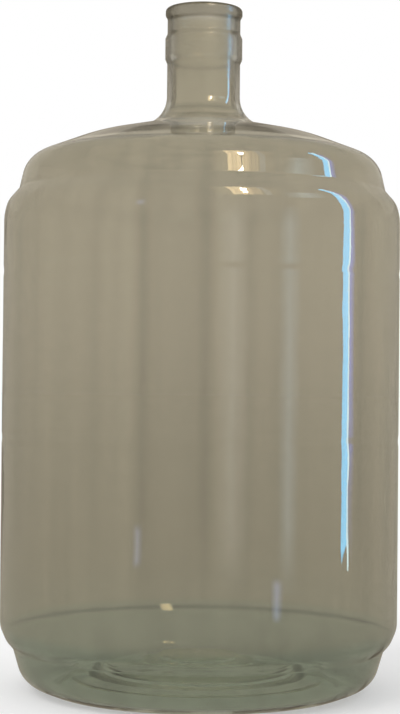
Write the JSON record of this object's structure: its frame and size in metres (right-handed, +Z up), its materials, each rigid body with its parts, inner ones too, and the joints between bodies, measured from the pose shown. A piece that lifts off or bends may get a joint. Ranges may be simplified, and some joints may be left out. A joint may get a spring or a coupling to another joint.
{
  "type": "carboy",
  "caption": "Clear blow-moulded plastic carboy with a stepped shoulder, a stepped heel and an open snap-ring neck, for storing and fermenting liquids.",
  "frame": {"origin": "centre of the plane that the bottle stands on", "axes": "+Z up along the bottle's axis, out of the mouth; the bottle is round, so X and Y are free"},
  "size_m": [0.283, 0.2828, 0.487],
  "materials": {
    "clear_pet": "clear, faintly smoky, glossy"
  },
  "bodies": {
    "root": {"bottle": "clear_pet"}
  },
  "joints": []
}
